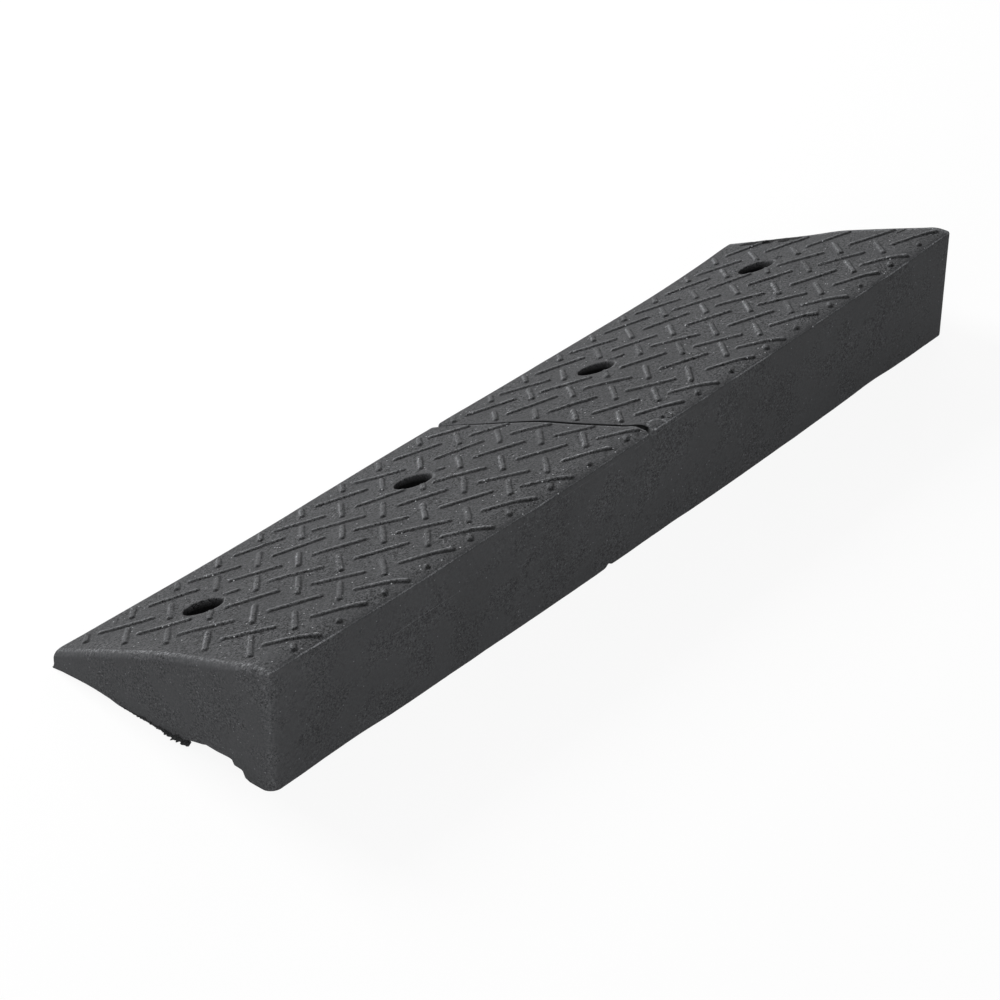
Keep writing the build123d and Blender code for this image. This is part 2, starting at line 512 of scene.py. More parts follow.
def section_profile():
    """The closed outline of a section in (y, z), and the face that each of its points belongs to.

    It goes up the toe, over the top, down the back and home along the underside, with round corners.
    """
    lean = math.atan(lower_slope)
    toe_arc_z = TOE_HEIGHT + lower_slope * TOE_ROUND - TOE_ROUND / math.cos(lean)
    toe_foot = arc(toe_y + FOOT_ROUND, FOOT_ROUND, FOOT_ROUND, 270, 180, FOOT_STEPS)
    toe_arc = arc(toe_y + TOE_ROUND, toe_arc_z, TOE_ROUND, 180, 90 + math.degrees(lean), TOE_STEPS)
    toe_rise = upright(toe_y, np.linspace(FOOT_ROUND, toe_arc_z, TOE_RISE_STEPS + 1)[1:-1])
    top_steps = round((back_y - BACK_ROUND - toe_arc[-1, 0]) / TREAD_PITCH)
    top_y = np.linspace(toe_arc[-1, 0], back_y - BACK_ROUND, top_steps + 1)[1:-1]
    top = np.column_stack((top_y, slope_height(top_y)))
    back_arc = arc(back_y - BACK_ROUND, ramp_height - BACK_ROUND, BACK_ROUND, 90, 0, BACK_STEPS)
    back_fall = upright(back_y, ramp_height - np.array(BACK_DEPTHS))
    back_foot = arc(back_y - FOOT_ROUND, FOOT_ROUND, FOOT_ROUND, 0, -90, FOOT_STEPS)
    under_hole = PLAIN_UNDER_Y + (hole_y + FOOT_REACH, hole_y, hole_y - FOOT_REACH)
    under_toe = np.linspace(hole_y - FOOT_REACH, toe_y, UNDER_STEPS + 1)[1:-1]
    under_y = np.concatenate((under_hole, under_toe))
    flat_under = np.column_stack((under_y, np.zeros(len(under_y))))
    faces = {
        "toe": np.concatenate((toe_foot, toe_rise, toe_arc[:-1])),
        "top": np.concatenate((toe_arc[-1:], top, back_arc[:-1])),
        "back": np.concatenate((back_arc[-1:], back_fall, back_foot)),
        "under": np.concatenate((DRAIN_OUTLINE, flat_under)),
    }
    belongs = np.concatenate([np.full(len(points), face) for face, points in faces.items()])
    return np.concatenate(list(faces.values())), belongs


def end_stations(low_x, high_x):
    """Places along a section where its profile stands: even steps, and closer ones round both ends."""
    closing = END_REACH * (1.0 - np.cos(np.linspace(0.0, np.pi / 2.0, END_STEPS + 1)))[:-1]
    steps = round((high_x - low_x - 2.0 * END_REACH) / TREAD_PITCH)
    middle = np.linspace(low_x + END_REACH, high_x - END_REACH, steps + 1)
    return np.concatenate((low_x + closing, middle, (high_x - closing)[::-1]))


def corner_inset(distance, radius):
    """How far a face has drawn in at a distance from the end, on a quarter circle of that radius."""
    left = np.clip(radius - distance, 0.0, radius)
    return radius - np.sqrt(radius**2 - left**2)


def section_points(stations, profile, belongs, low_end, high_end):
    """The profile carried along the stations, drawn in by a quarter circle at both ends.

    The pull of a face fades over a few centimetres along its neighbours, so that corners come out round.
    """
    y, z = profile.T
    pull_top = np.select(
        (belongs == "top", belongs == "toe", belongs == "back"),
        (1.0, smooth_step(z / TOE_HEIGHT), smooth_step(1.0 - (ramp_height - z) / FACE_FADE)),
        0.0,
    )
    at_foot = smooth_step(1.0 - z / FOOT_FADE)
    pull_foot = np.select((belongs == "under", belongs == "top"), (1.0, 0.0), at_foot)
    pull_back = smooth_step(1.0 - (back_y - y) / FACE_FADE)
    pull_toe = smooth_step(1.0 - (y - toe_y) / FACE_FADE)
    high_up = smooth_step(1.0 - (ramp_height - z) / BACK_CORNER_DEPTH)
    from_low = (stations - stations[0])[:, None]
    from_high = (stations[-1] - stations)[:, None]

    def inset(face):
        return corner_inset(from_low, low_end[face]) + corner_inset(from_high, high_end[face])

    back_inset = high_up * inset("back") + (1.0 - high_up) * inset("lower_back")
    moved_y = y - pull_back * back_inset + pull_toe * inset("toe")
    moved_z = z - pull_top * inset("top") + pull_foot * inset("foot")
    along = np.broadcast_to(stations[:, None], moved_y.shape)
    return np.stack((along, moved_y, moved_z), -1)


def inward(loop, distance):
    """A closed outline moved in by a distance, square to the line between each point's neighbours."""
    run = np.roll(loop, -1, axis=0) - np.roll(loop, 1, axis=0)
    run = run / np.linalg.norm(run, axis=1, keepdims=True)
    return loop + distance * np.column_stack((run[:, 1], -run[:, 0]))


def grid_triangles(index, relief, kept):
    """Two triangles for each kept cell of a grid whose last column is followed by its first.

    A cell is cut where the step in relief is the smaller one.
    """
    index = np.concatenate((index, index[:, :1]), 1)
    first = index[:-1, :-1][kept]
    along = index[1:, :-1][kept]
    far = index[1:, 1:][kept]
    across = index[:-1, 1:][kept]
    falls = np.abs(relief[first] - relief[far]) > np.abs(relief[along] - relief[across])
    one = np.column_stack((first, along, np.where(falls, across, far)))
    two = np.column_stack((np.where(falls, along, first), far, across))
    return np.concatenate((one, two))


def ring_triangles(first, second):
    """Two triangles for each cell between two closed rings that have as many points."""
    after_first = np.roll(first, -1)
    after_second = np.roll(second, -1)
    one = np.column_stack((first, after_first, after_second))
    two = np.column_stack((first, after_second, second))
    return np.concatenate((one, two))


def thinning_triangles(fine, coarse):
    """Triangles from a closed ring to one with a quarter of its points."""
    count = len(fine)
    place = np.arange(count)
    apex = ((place + RING_SHARE // 2) // RING_SHARE) % len(coarse)
    one = np.column_stack((fine, np.roll(fine, -1), coarse[apex]))
    middle = fine[(np.arange(len(coarse)) * RING_SHARE + RING_SHARE // 2) % count]
    two = np.column_stack((middle, np.roll(coarse, -1), coarse))
    return np.concatenate((one, two))


def cap_triangles(loop_index, loop_y, upper_count, faces_high):
    """Triangles that close an end between the upper chain of its outline and the underside.

    Each step of one chain is joined to the point of the other chain that lies level with it in y.
    """
    upper = np.arange(upper_count)
    lower = np.concatenate(((0,), np.arange(len(loop_y) - 1, upper_count - 1, -1), (upper_count - 1,)))
    lower_middle = np.maximum.accumulate((loop_y[lower][1:] + loop_y[lower][:-1]) / 2.0)
    upper_middle = np.maximum.accumulate((loop_y[1:upper_count] + loop_y[: upper_count - 1]) / 2.0)
    below = np.searchsorted(lower_middle, upper_middle)
    above = np.searchsorted(below, np.arange(1, len(lower)))
    one = np.column_stack((upper[:-1], lower[below], upper[1:]))
    two = np.column_stack((lower[:-1], lower[1:], upper[above]))
    found = np.concatenate((one, two))
    found = found[(found != np.roll(found, 1, axis=1)).all(axis=1)]
    return loop_index[found if faces_high else found[:, ::-1]]


def square_loop(block):
    """Grid points round a block of cells, one way round, starting at the first corner."""
    return np.concatenate((block[:-1, 0], block[-1, :-1], block[:0:-1, -1], block[0, :0:-1]))


def hole_points(rim_xy, foot_xy, centre, surface):
    """Rings of a fixing hole, from the slope down to the seat, and on down the shank hole.

    The first rings close in from a square of the slope to the round rim, which turns over into the wall.
    """
    angle = np.unwrap(np.arctan2(*(rim_xy - centre).T[::-1]))
    spoke = np.column_stack((np.cos(angle), np.sin(angle)))
    rings = []
    for share in SLOPE_SHARES:
        flat = rim_xy + share * (centre + spoke * (RECESS_RADIUS + RIM_ROUND) - rim_xy)
        rings.append(np.column_stack((flat, surface(*flat.T))))
    for turn in np.linspace(0.0, np.pi / 2.0, RIM_RINGS):
        flat = centre + spoke * (RECESS_RADIUS + RIM_ROUND * (1.0 - math.sin(turn)))
        drop = RIM_ROUND * (1.0 - math.cos(turn))
        rings.append(np.column_stack((flat, surface(*flat.T) - drop)))
    lip = rings[-1]
    for share in WALL_SHARES:
        wall = lip.copy()
        wall[:, 2] += share * (SEAT_HEIGHT - lip[:, 2])
        rings.append(wall)
    thin_angle = angle[::RING_SHARE]
    foot_angle = np.unwrap(np.arctan2(*(foot_xy - centre).T[::-1]))
    shank = []
    for share in np.linspace(0.0, 1.0, SHANK_RINGS):
        turned = thin_angle + share * (foot_angle - thin_angle)
        flat = centre + SHANK_RADIUS * np.column_stack((np.cos(turned), np.sin(turned)))
        shank.append(np.column_stack((flat, np.full(len(flat), SEAT_HEIGHT * (1.0 - share)))))
    return rings, shank


def new_object(name, data):
    """An object of the scene that holds a mesh, a lamp or a camera."""
    made = bpy.data.objects.new(name, data)
    bpy.context.scene.collection.objects.link(made)
    return made


def mesh_piece(name, points, triangles, marks):
    """A smooth-shaded object from points in millimetres, triangles and named marks on its points."""
    mesh = bpy.data.meshes.new(name)
    mesh.from_pydata((points * MM).tolist(), [], triangles.tolist(), shade_flat=False)
    for mark, values in marks.items():
        mesh.attributes.new(mark, "FLOAT", "POINT").data.foreach_set("value", values.astype(np.float32))
    return new_object(name, mesh)


def section_frame(node, seam_high, seed):
    """What the steps of a section share."""
    low_x, high_x = (corner.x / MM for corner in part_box(node))
    section = SimpleNamespace(seam_high=seam_high, seed=seed)
    if seam_high:
        section.holes = (high_x - INNER_HOLE_OFFSET, low_x + OUTER_HOLE_OFFSET)
        section.ends = (FAR_OUTER_END, SEAM_END)
        high_x = high_x + SEAM_CLOSING
    else:
        section.holes = (low_x + INNER_HOLE_OFFSET, high_x - OUTER_HOLE_OFFSET)
        section.ends = (SEAM_END, NEAR_OUTER_END)
        low_x = low_x - SEAM_CLOSING
    section.low_x, section.high_x = low_x, high_x
    section.bars = tread_bars(low_x, high_x, seam_high, seed)
    section.profile, section.belongs = section_profile()
    section.top = (section.belongs == "top").astype(float)
    section.stations = end_stations(low_x, high_x)
    return section


def end_distances(section):
    """How far each station lies from the seam end and from the outer end, as two columns."""
    from_low = (section.stations - section.low_x)[:, None]
    from_high = (section.high_x - section.stations)[:, None]
    return (from_high, from_low) if section.seam_high else (from_low, from_high)


def plain_surface(section, x, y):
    """Height of a section's slope without its bars."""
    return slope_height(y) + settling(x, y) + swell(x, y, SWELL_HEIGHT, section.seed)


def shaped_points(section):
    """The carried profile with its tread, unevenness and wear, and the relief, lee, wear and tear there."""
    loop_y, loop_z = section.profile.T
    top_columns = np.flatnonzero(section.top)
    from_seam, from_outer = end_distances(section)
    points = section_points(section.stations, section.profile, section.belongs, *section.ends)
    x, y, z = np.moveaxis(points, -1, 0)

    # Top: settling, which fades down the sides, bars and swell
    z += settling(x, y) * np.clip(z / slope_height(y), 0.0, 1.0)
    top_x, top_y, _ = np.moveaxis(points[:, top_columns], -1, 0)
    fields = np.zeros((4,) + x.shape)
    fields[:3, :, top_columns] = tread_relief(top_x, top_y, section.bars, section.holes)
    relief, _, _, torn = fields
    z += relief
    calm = smooth_step(np.minimum(from_seam, from_outer) / END_CALM)
    z[:, top_columns] += calm * swell(top_x, top_y, SWELL_HEIGHT, section.seed)

    # Back: a hollow with waves, which fade at the outer end
    waves = BACK_HOLLOW + swell(x, loop_z * np.ones_like(x), SWELL_HEIGHT, BACK_SEED)
    hung = np.where(section.belongs == "back", 1.0, smooth_step(1.0 - (back_y - loop_y) / BACK_HANG))
    y -= smooth_step(from_outer / END_CALM) * hung * waves

    # Tear: the torn strip and the pit sink into the top of the far section, with a rough floor
    if section.seam_high:
        torn[:, top_columns] = torn_share(top_x, top_y, section.low_x)
        z -= TORN_DEPTH * torn * np.random.default_rng(section.seed).uniform(*TORN_FLOOR, torn.shape)

    # Foot: arches and a nick along the back, and an arch under the near end
    at_back_foot = (loop_z < 2.0 * FOOT_ROUND) & (loop_y > back_y - FOOT_DEPTH)
    z += bells(x, FOOT_ARCHES) * at_back_foot
    at_sole = (loop_z < FOOT_ROUND) & (loop_y < hole_y - FOOT_REACH)
    z += bells(y, SOLE_ARCH) * grown(x, *SOLE_RUN) * at_sole

    # Lie: the skew far end, the bow in plan, the wandering toe and the tip of flash at the toe corner
    from_corner = np.hypot(x - outer_x, y - toe_y) / TIP_REACH
    tip = np.exp(-(from_corner**2) - (z / FOOT_ROUND) ** 2)
    at_toe = smooth_step(1.0 - (y - toe_y) / FACE_FADE)
    shift_x = far_end_skew(x, y) + TIP_SHIFT[0] * tip
    y += plan_bow(x) + bells(x, TOE_WANDER) * at_toe + TIP_SHIFT[1] * tip
    x += shift_x
    return points, fields


def add_caps(section, points, fields):
    """Rows for the flat ends: the end outlines once more, drawn in a little, with bare fields."""
    first, last = (np.column_stack((row[:, :1], inward(row[:, 1:], CAP_INSET))) for row in points[[0, -1]])
    section.stations = np.pad(section.stations, 1, "edge")
    points = np.concatenate((first[None], points, last[None]))
    return points, np.pad(fields, ((0, 0), (1, 1), (0, 0)))


def open_joint(section, points, seam_gape):
    """Part the butted end at its top, and tell how near to the top each point lies, from 0 to 1.

    The outline of the flat face is let down under the top edge, so only a narrow chamfer stands open.
    """
    loop_y, loop_z = section.profile.T
    seam_cap = -1 if section.seam_high else 0
    from_seam, _ = end_distances(section)
    ease = grown(loop_y, toe_y, GAPE_EASE["toe"]) * grown(loop_y, back_y, -GAPE_EASE["back"])
    sunk = GAPE_DEPTH * ease * section.top
    points[seam_cap, :, 2] -= sunk
    depth = np.tile(slope_height(loop_y) - loop_z, (len(points), 1))
    depth[seam_cap] += sunk
    near_top = smooth_step(1.0 - depth / GAPE_DEPTH)
    widening = 1.0 + grown(loop_y, toe_y, GAPE_SLOPE_REACH) + grown(loop_y, *GAPE_KERB_RUN)
    gape = seam_gape * widening * near_top * (1.0 - smooth_step(from_seam / GAPE_REACH))
    points[..., 0] += -gape if section.seam_high else gape
    return near_top


def finish_marks(section, points, near_top):
    """Marks for the finish on the carried profile: dusty and rubbed edges, upright and smooth faces, and
    painted shade on the joint faces near the top.

    Dust lies by the outer end, on the rim of the pad and, on the near section, by the seam.
    """
    loop_y, loop_z = section.profile.T
    from_seam, from_outer = end_distances(section)
    from_end = np.minimum(from_seam, from_outer)
    pad = FAR_PAD if section.seam_high else NEAR_PAD
    pad_x = section.high_x - pad["setback"][0]
    pad_y = back_y - pad["setback"][1] + plan_bow(pad_x)
    from_pad = np.hypot(points[..., 0] - pad_x, points[..., 1] - pad_y) - pad["radius"]
    dust = np.maximum(bell(from_outer, *END_DUST), bell(from_pad, 0.0, 1.0, pad["rim"]))
    if not section.seam_high:
        dust = np.maximum(dust, np.maximum(bell(from_outer, *END_HAZE), bell(from_seam, *SEAM_DUST)))
    corner = bell(from_outer, *CORNER_DUST) * (section.belongs == "back")
    back_edge = np.hypot(loop_y - back_y + RUBBED_INSET, loop_z - ramp_height + RUBBED_INSET)
    return {
        "edge_dust": np.maximum(dust * section.top, corner) * smooth_step(from_end),
        "upright_face": np.maximum(1.0 - section.top, 1.0 - grown(from_end, *END_FACE_RUN)),
        "rubbed_edge": bell(back_edge, 0.0, RUBBED_REACH) * smooth_step(from_end / RUBBED_END),
        "smooth_pad": (1.0 - grown(from_pad, -PAD_EDGE, PAD_EDGE)) * section.top,
        # Painted shade on the joint faces near the top, down in the open seam
        "deep_face": (1.0 - grown(from_seam, *JOINT_FACE_RUN)) * near_top,
    }


def fixing_holes(section, points, index, kept):
    """Points, triangles and marks of a section's fixing holes, whose cells are struck from the grid."""
    loop_y, loop_z = section.profile.T
    flat_points = points.reshape(-1, 3)

    def column_near(chosen, y):
        columns = np.flatnonzero(chosen)
        return int(columns[np.argmin(np.abs(loop_y[columns] - y))])

    def struck(middle_i, half, low_j, high_j):
        kept[middle_i - half:middle_i + half, low_j:high_j] = False
        return index[middle_i - half:middle_i + half + 1, low_j:high_j + 1]

    middle_j = column_near(section.top, hole_y)
    low_foot = column_near(loop_z == 0.0, hole_y - FOOT_REACH)
    high_foot = column_near(loop_z == 0.0, hole_y + FOOT_REACH)
    made_points = []
    triangles = []
    marks = {"upright_face": [], "deep_face": [], "worn_crown": []}
    used = index.size

    def surface(x, y):
        straight_y = y - plan_bow(x)
        bars = tread_relief(x, straight_y, section.bars, section.holes)[0]
        return plain_surface(section, x, straight_y) + bars

    for hole_x in section.holes:
        middle_i = int(np.argmin(np.abs(section.stations - hole_x)))
        rim = square_loop(struck(middle_i, HOLE_HALF, middle_j - HOLE_HALF, middle_j + HOLE_HALF))
        foot = square_loop(struck(middle_i, FOOT_HALF, high_foot, low_foot)[:, ::-1])
        middle = np.array((hole_x, hole_y + plan_bow(hole_x)))
        rings, shank = hole_points(flat_points[rim, :2], flat_points[foot, :2], middle, surface)

        # Rings are joined from the slope down to the seat, thinned there, and on down to the underside
        outer = rim
        for ring in rings + shank:
            inner = used + np.arange(len(ring))
            join = ring_triangles if len(inner) == len(outer) else thinning_triangles
            triangles.append(join(outer, inner))
            used += len(ring)
            outer = inner
        triangles.append(ring_triangles(outer, foot))

        # Painted shade by the depth under the slope, and a painted highlight on the rim's kerb side
        made = np.concatenate(rings + shank)
        made_points.append(made)
        drop = plain_surface(section, made[:, 0], made[:, 1] - plan_bow(hole_x)) - made[:, 2]
        dark = grown(drop, RIM_ROUND, HOLE_DARK_REACH)
        from_rim = np.linalg.norm(made[:, :2] - middle, axis=1) - RECESS_RADIUS - RIM_ROUND
        kerbward = grown(made[:, 1], middle[1], RECESS_RADIUS)
        over_seat = made[:, 2] > SEAT_HEIGHT + RIM_ROUND
        marks["upright_face"].append(dark)
        marks["deep_face"].append(dark * (HOLE_SHADE - HOLE_EASE * grown(drop, *HOLE_EASE_RUN)))
        marks["worn_crown"].append(RIM_HIGHLIGHT * kerbward * bell(from_rim, 0.0, 1.0) * over_seat)
    hole_marks = {mark: np.concatenate(values) for mark, values in marks.items()}
    return np.concatenate(made_points), triangles, hole_marks


def ramp_section(name, node, seam_high, seam_gape, seed):
    """One moulded section as a closed surface: carried profile, tread, holes, ends and underside."""
    section = section_frame(node, seam_high, seed)
    points, fields = add_caps(section, *shaped_points(section))
    near_top = open_joint(section, points, seam_gape)
    relief, kerb_shade, highlight, torn = fields
    marks = finish_marks(section, points, near_top)
    # The bars' painted shade and painted highlight are stored on the points as marks, with the torn strip
    marks.update({"lee_side": kerb_shade, "worn_crown": highlight, "torn_strip": torn})

    # Cells of the grid, without those that the holes take up, and the flat ends
    index = np.arange(relief.size).reshape(relief.shape)
    kept = np.ones_like(index[1:], bool)
    hole_vertices, triangles, hole_marks = fixing_holes(section, points, index, kept)
    upper_count = int((section.belongs != "under").sum())
    triangles.append(grid_triangles(index, relief.ravel(), kept))
    triangles.append(cap_triangles(index[0], points[0, :, 1], upper_count, False))
    triangles.append(cap_triangles(index[-1], points[-1, :, 1], upper_count, True))
    bare = np.zeros(len(hole_vertices))
    all_marks = {mark: np.concatenate((marks[mark].ravel(), hole_marks.get(mark, bare))) for mark in MARKS}
    vertices = np.concatenate((points.reshape(-1, 3), hole_vertices))
    return mesh_piece(name, vertices, np.concatenate(triangles), all_marks)


def torn_flash(name):
    """A ragged strip of flash along the foot of the near end: a flat lumpy tube with drawn-in ends.

    Averaged drawn lines make its outline ragged, and sine waves round the tube make the lumps.
    """
    draw = np.random.default_rng(FLASH_SEED)
    share = np.linspace(0.0, 1.0, FLASH_STATIONS)[:, None]
    angle = np.linspace(0.0, 2.0 * np.pi, FLASH_RING, endpoint=False)[None, :]
    closing = np.sqrt(np.clip(share * (1.0 - share) * FLASH_CLOSING, FLASH_TIP, 1.0))

    def drawn_line(reach):
        loose = draw.normal(0.0, 1.0, FLASH_STATIONS + reach - 1)
        return np.convolve(loose, np.full(reach, reach**-0.5), "valid")[:, None]

    def ragged(start, gain, *rags):
        rag = sum(depth * drawn_line(reach) for depth, reach in rags)
        return (start + gain * share) * np.exp(rag) * closing

    y = FLASH_LOW_Y + share * (FLASH_HIGH_Y - FLASH_LOW_Y) + plan_bow(outer_x)
    height = ragged(*FLASH_HEIGHT)
    half_depth = ragged(*FLASH_HALF_DEPTH)
    lift = FLASH_LIFT["middle"] + FLASH_LIFT["spread"] * drawn_line(FLASH_LIFT["reach"])
    lift = np.clip(lift, FLASH_LIFT["least"], None) * closing
    lump = sum((rise * np.sin(turns * angle + y / length) for rise, turns, length in FLASH_LUMPS), 1.0)
    x = outer_x - FLASH_SETBACK + half_depth * np.cos(angle) * lump
    z = lift + height * (0.5 + 0.5 * np.sin(angle) * np.minimum(lump, 1.0))
    points = np.stack((x, np.broadcast_to(y, x.shape), z), -1).reshape(-1, 3)
    index = np.arange(x.size).reshape(x.shape)
    flat = np.zeros(x.size)
    sides = grid_triangles(index, flat, np.ones_like(index[1:], bool))
    step = np.arange(1, FLASH_RING - 1)
    fan = np.column_stack((np.zeros_like(step), step, step + 1))
    triangles = np.concatenate((sides, index[0][fan], index[-1][fan[:, (0, 2, 1)]]))[:, ::-1]
    marks = dict.fromkeys(MARKS, flat)
    # The flash is darkened with painted shade
    marks.update({"upright_face": flat + 1.0, "deep_face": flat + FLASH_SHADE})
    return mesh_piece(name, points, triangles, marks)


def add_node(tree, kind, inputs=None, **options):
    """A shader node of one kind, with its options set and its inputs set or linked."""
    made = tree.nodes.new(kind)
    for option, value in options.items():
        setattr(made, option, value)
    for socket, value in (inputs or {}).items():
        if isinstance(value, bpy.types.NodeSocket):
            tree.links.new(value, made.inputs[socket])
        else:
            made.inputs[socket].default_value = value
    return made


def reckon(tree, operation, *values):
    """One kind of sum on two or more values or sockets, worked from the first one on."""
    total = values[0]
    for value in values[1:]:
        total = add_node(tree, "ShaderNodeMath", {0: total, 1: value}, operation=operation).outputs[0]
    return total


def spread(tree, value, low, high, low_out, high_out):
    """A value carried from one range to another and held at its ends."""
    inputs = {"Value": value, "From Min": low, "From Max": high, "To Min": low_out, "To Max": high_out}
    return add_node(tree, "ShaderNodeMapRange", inputs).outputs["Result"]


def bare_tree(owner):
    """The emptied node tree of a material or a world."""
    owner.use_nodes = True
    owner.node_tree.nodes.clear()
    return owner.node_tree


def finish_kit(tree):
    """What the steps of the finish share: sums and ranges in one tree, its marks and its noises."""
    kit = SimpleNamespace(tree=tree, ranged=partial(spread, tree))
    kit.times = partial(reckon, tree, "MULTIPLY")
    kit.plus = partial(reckon, tree, "ADD")
    kit.less = partial(reckon, tree, "SUBTRACT")
    kit.most = partial(reckon, tree, "MAXIMUM")
    kit.place = add_node(tree, "ShaderNodeTexCoord").outputs["Object"]
    for mark in MARKS:
        setattr(kit, mark, add_node(tree, "ShaderNodeAttribute", attribute_name=mark).outputs["Fac"])
    for noise, (scale, detail) in NOISES.items():
        inputs = {"Vector": kit.place, "Scale": scale, "Detail": detail, "Roughness": 0.6}
        setattr(kit, noise, add_node(tree, "ShaderNodeTexNoise", inputs).outputs["Fac"])
    kit.grain_tone = kit.ranged(kit.grain, *NOISE_SPAN, -1.0, 1.0)
    return kit


def dots(kit, scale, size, share):
    """Round dots: the middles of those Voronoi cells whose drawn value is over a share."""
    cells = add_node(kit.tree, "ShaderNodeTexVoronoi", {"Vector": kit.place, "Scale": scale}).outputs
    drawn = add_node(kit.tree, "ShaderNodeSeparateColor", {"Color": cells["Color"]}).outputs["Red"]
    round_dot = kit.ranged(cells["Distance"], 0.5 * size, size, 1.0, 0.0)
    return kit.times(round_dot, kit.ranged(drawn, share, share + 0.04, 0.0, 1.0))


def scratch(kit, level, low_x, high_x):
    """A thin wandering line along the back, at one height and between two places in x, in metres."""
    x, _, z = add_node(kit.tree, "ShaderNodeSeparateXYZ", {"Vector": kit.place}).outputs
    above = kit.less(z, level, kit.ranged(kit.clouds, *NOISE_SPAN, -0.0012, 0.0012))
    away = add_node(kit.tree, "ShaderNodeMath", {0: above}, operation="ABSOLUTE").outputs[0]
    line = kit.ranged(away, 0.0002, 0.0006, 1.0, 0.0)
    begun = kit.ranged(x, low_x, low_x + SCRATCH_FADE, 0.0, 1.0)
    left = kit.ranged(x, high_x - SCRATCH_FADE, high_x, 1.0, 0.0)
    broken = kit.ranged(kit.patches, 0.4, 0.55, 0.3, 1.0)
    return kit.times(line, kit.times(begun, left, broken), kit.upright_face)


def rubber_grain(kit):
    """Grain as a factor about 1: two noises, strong in patches of the dusty top, fainter on the sides."""
    fine_tone = kit.ranged(kit.fine, *NOISE_SPAN, -1.0, 1.0)
    both = kit.plus(kit.times(kit.grain_tone, 0.5), kit.times(fine_tone, 0.5))
    smooth_place = kit.most(kit.upright_face, kit.smooth_pad, kit.rubbed_edge)
    between_patches = kit.ranged(kit.upright_face, 0.0, 1.0, 0.7, 0.3)
    patch = kit.ranged(kit.patches, 0.42, 0.58, between_patches, 1.35)
    share = kit.times(kit.ranged(smooth_place, 0.0, 1.0, 1.15, 0.55), patch)
    return kit.plus(kit.times(both, share), 1.0)


def rubber_pits(kit):
    """Small dark dots on the sides, gathered in patches."""
    patch = kit.ranged(kit.patches, 0.46, 0.6, 0.0, 0.55)
    return kit.times(dots(kit, *PIT_DOTS), patch, kit.upright_face)


def deep_shade_and_tear(kit):
    """How dark a place is, from 0 to 1: painted shade in deep places, and the torn strip, partly dark torn
    rubber and partly painted shade; the grain makes the tears ragged.
    """
    ragged = kit.plus(kit.times(kit.grain_tone, 0.9), 1.0)
    # The torn strip is darkened: dark torn rubber, and painted shade of a deeper gash
    torn = kit.ranged(kit.times(kit.torn_strip, ragged), 0.3, 0.6, 0.0, 1.0)
    return kit.most(kit.deep_face, kit.times(torn, kit.ranged(kit.fine, 0.4, 0.6, 1.0, 0.8)))


def pale_tones(kit):
    """Tones that are added: specks, dust in the grain of the edges, the rubbed edge and scratches."""
    speck_tone = kit.ranged(kit.upright_face, 0.0, 1.0, 0.4, 0.1)
    speck = kit.times(dots(kit, *SPECK_DOTS), speck_tone)
    dust_patch = kit.ranged(kit.patches, 0.42, 0.6, 0.35, 0.6)
    dust_speck = kit.ranged(kit.grain, 0.46, 0.62, 0.25, 1.0)
    dust = kit.times(kit.edge_dust, kit.times(dust_patch, dust_speck, DUST_TONE))
    line_patch, line_speck = (kit.ranged(noise, 0.42, 0.6, 0.25, 1.0) for noise in (kit.patches, kit.fine))
    line = kit.ranged(kit.rubbed_edge, 0.85, 0.98, 0.0, RUBBED_TONE)
    line = kit.times(line, kit.times(line_patch, line_speck))
    return [speck, dust, line] + [kit.times(scratch(kit, *span), SCRATCH_TONE) for span in SCRATCHES]


def rubber_relief(kit, pits):
    """Height of the grain for the bump: less on the sides, and least on dusty and rubbed edges."""
    relief = kit.plus(kit.times(kit.grain, 0.7), kit.times(kit.fine, 0.3))
    relief = kit.times(relief, kit.ranged(kit.upright_face, 0.0, 1.0, 1.0, 0.4))
    relief = kit.less(relief, kit.times(pits, 0.3))
    return kit.times(relief, kit.ranged(kit.most(kit.edge_dust, kit.rubbed_edge), 0.0, 0.6, 1.0, 0.2))


def rubber_material():
    """Charcoal moulded rubber: a grey for top or side, times clouds, grain, pits, painted shade and painted
    highlight, plus pale tones.

    Deep places are nearly black with painted shade, and torn places are nearly black, partly with painted
    shade.
    """
    material = bpy.data.materials.new("moulded_rubber")
    tree = bare_tree(material)
    kit = finish_kit(tree)
    pits = rubber_pits(kit)
    dark = deep_shade_and_tear(kit)
    tone = kit.times(
        kit.ranged(kit.upright_face, 0.0, 1.0, TOP_TONE, SIDE_TONE),
        kit.ranged(kit.clouds, *NOISE_SPAN, 0.88, 1.12),
        rubber_grain(kit),
        kit.less(1.0, pits),
        # Painted shade on the kerb side of the bars, and a painted highlight on their crowns and on the
        # hole rims
        kit.ranged(kit.lee_side, 0.0, 1.0, 1.0, KERB_SHADE_TONE),
        kit.ranged(kit.worn_crown, 0.0, 1.0, 1.0, HIGHLIGHT_TONE),
    )
    # Painted shade darkens deep places and the torn strip
    tone = kit.times(kit.plus(tone, *pale_tones(kit)), kit.ranged(dark, 0.0, 1.0, 1.0, DEEP_SHADE_TONE))
    colour = add_node(tree, "ShaderNodeMix", {"Factor": tone, "A": BLACK, "B": TINT}, data_type="RGBA")
    relief = rubber_relief(kit, pits)
    bump = add_node(tree, "ShaderNodeBump", {"Height": relief, "Strength": 1.0, "Distance": GRAIN_DEPTH})
    shader = add_node(
        tree,
        "ShaderNodeBsdfPrincipled",
        {
            "Base Color": colour.outputs["Result"],
            "Roughness": kit.most(kit.ranged(kit.clouds, *NOISE_SPAN, 0.62, 0.76), dark),
            "Specular IOR Level": 0.05,
            "Normal": bump.outputs["Normal"],
        },
    )
    add_node(tree, "ShaderNodeOutputMaterial", {"Surface": shader.outputs["BSDF"]})
    return material


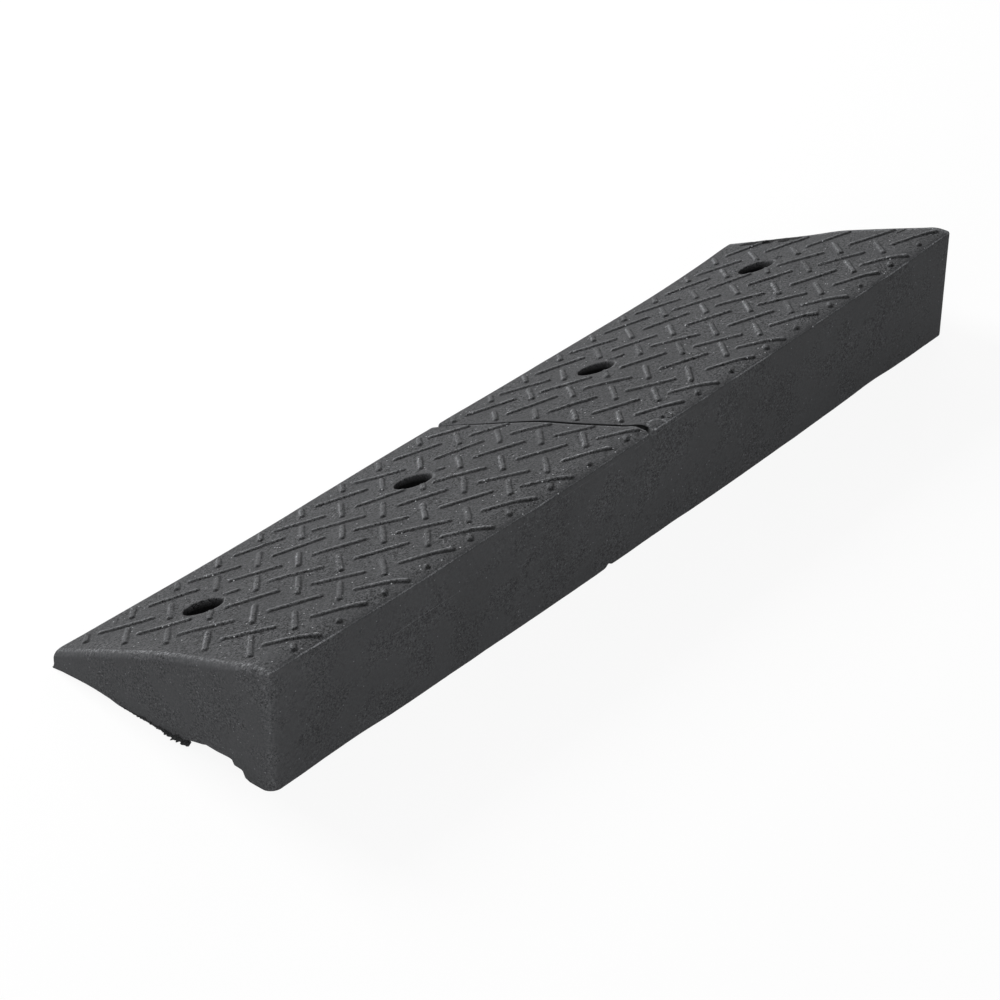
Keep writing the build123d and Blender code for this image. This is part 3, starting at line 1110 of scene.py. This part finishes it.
def backdrop_rays(tree):
    """One for rays that see the backdrop straight, in gloss or through glass, and else nought."""
    path = add_node(tree, "ShaderNodeLightPath").outputs
    rays = (path["Is Camera Ray"], path["Is Glossy Ray"], path["Is Transmission Ray"])
    return reckon(tree, "MAXIMUM", *rays)


def pale_floor():
    """A wide pale floor that shows nearly white to the camera and keeps the ramp's soft shadow."""
    mesh = bpy.data.meshes.new("floor")
    corners = [(x * FLOOR_REACH, y * FLOOR_REACH, 0.0) for x, y in ((-1, -1), (1, -1), (1, 1), (-1, 1))]
    mesh.from_pydata(corners, [], [(0, 1, 2, 3)])
    floor = new_object("floor", mesh)
    material = bpy.data.materials.new("pale_floor")
    tree = bare_tree(material)
    share = reckon(tree, "MULTIPLY", backdrop_rays(tree), FLOOR_WHITENESS)
    matt = add_node(tree, "ShaderNodeBsdfDiffuse", {"Color": FLOOR_GREY}).outputs["BSDF"]
    white = add_node(tree, "ShaderNodeEmission", {"Color": WHITE, "Strength": 1.0}).outputs["Emission"]
    mixed = add_node(tree, "ShaderNodeMixShader", {0: share, 1: matt, 2: white}).outputs["Shader"]
    add_node(tree, "ShaderNodeOutputMaterial", {"Surface": mixed})
    mesh.materials.append(material)


def view_direction(azimuth, elevation):
    """The direction from the ramp to a viewer: azimuth in degrees from -Y towards +X, and elevation."""
    turn = math.radians(azimuth)
    rise = math.radians(elevation)
    return np.array((math.sin(turn) * math.cos(rise), -math.cos(turn) * math.cos(rise), math.sin(rise)))


def view_matrix(back, position):
    """The place and turn of something that looks along -back, with its right hand level."""
    right = np.cross((0.0, 0.0, 1.0), back)
    right = right / np.linalg.norm(right)
    up = np.cross(back, right)
    columns = np.column_stack((right, up, back, position))
    return Matrix(np.vstack((columns, (0.0, 0.0, 0.0, 1.0))).tolist())


def soft_lamp(name, power, size, azimuth, elevation, distance):
    """A square soft lamp that looks at the ramp's middle from an azimuth and elevation in degrees."""
    away = view_direction(azimuth, elevation)
    lamp = bpy.data.lights.new(name, "AREA")
    lamp.energy = power
    lamp.size = size
    new_object(name, lamp).matrix_world = view_matrix(away, away * distance)


def photograph_camera():
    """The camera: a distance along its own viewing line, then aside and above in its own frame."""
    back = view_direction(CAMERA_AZIMUTH, CAMERA_ELEVATION)
    frame_axes = np.array(view_matrix(back, np.zeros(3)))[:3, :3]
    position = frame_axes @ np.array((CAMERA_ASIDE, CAMERA_ABOVE, CAMERA_DISTANCE))
    lens = bpy.data.cameras.new("camera")
    lens.lens = CAMERA_LENS
    lens.sensor_width = 36.0
    lens.clip_start = 0.05
    lens.clip_end = 60.0
    camera = new_object("camera", lens)
    camera.matrix_world = view_matrix(back, position)
    bpy.context.scene.camera = camera


def studio_world():
    """An even grey surround that shows white to the camera."""
    world = bpy.data.worlds.new("studio")
    bpy.context.scene.world = world
    tree = bare_tree(world)
    dim = add_node(tree, "ShaderNodeBackground", {"Color": WHITE, "Strength": SURROUND_STRENGTH}).outputs[0]
    white = add_node(tree, "ShaderNodeBackground", {"Color": WHITE, "Strength": 1.0}).outputs[0]
    mixed = add_node(tree, "ShaderNodeMixShader", {0: backdrop_rays(tree), 1: dim, 2: white}).outputs[0]
    add_node(tree, "ShaderNodeOutputWorld", {"Surface": mixed})


rubber = rubber_material()
near_section = ramp_section("near_section_rubber", "near_ramp_section", False, NEAR_GAPE, NEAR_SEED)
far_section = ramp_section("far_section_rubber", "far_ramp_section", True, FAR_GAPE, FAR_SEED)
near_flash = torn_flash("near_end_flash")
for piece, body, node in (
    (near_section, "near_section", "near_ramp_section"),
    (far_section, "far_section", "far_ramp_section"),
    (near_flash, "near_section", "near_ramp_section"),
):
    piece.data.materials.append(rubber)
    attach(piece, body)
    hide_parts(node)

pale_floor()
for lamp_name, lamp_values in LAMPS.items():
    soft_lamp(lamp_name, *lamp_values)
studio_world()
photograph_camera()
bpy.context.scene.view_settings.view_transform = "Standard"
